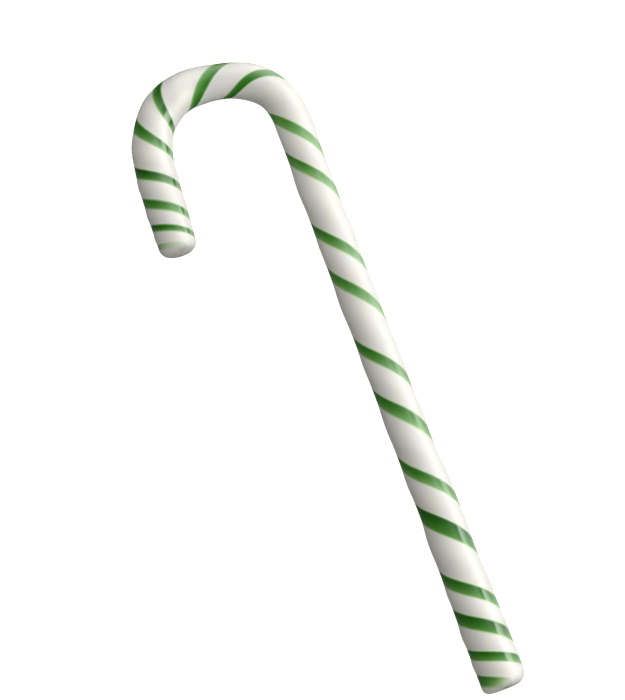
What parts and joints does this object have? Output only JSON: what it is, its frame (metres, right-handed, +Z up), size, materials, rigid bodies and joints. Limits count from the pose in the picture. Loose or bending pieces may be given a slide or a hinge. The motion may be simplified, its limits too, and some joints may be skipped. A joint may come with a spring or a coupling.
{
  "type": "candy cane",
  "caption": "Glossy white sugar stick with green stripes twisted round it, bent over at one end into a hook that hangs on a branch or a rim.",
  "frame": {"origin": "on the plane the cane lies on, below the middle of its bounding box", "axes": "+Y along the shaft from its foot to the crown of the hook, +Z up out of the shown side, and the hook bends over to -X"},
  "size_m": [0.0426, 0.153, 0.0096],
  "materials": {
    "striped_sugar": "glossy boiled sugar, white with green stripes"
  },
  "bodies": {
    "root": {"cane": "striped_sugar"}
  },
  "joints": []
}
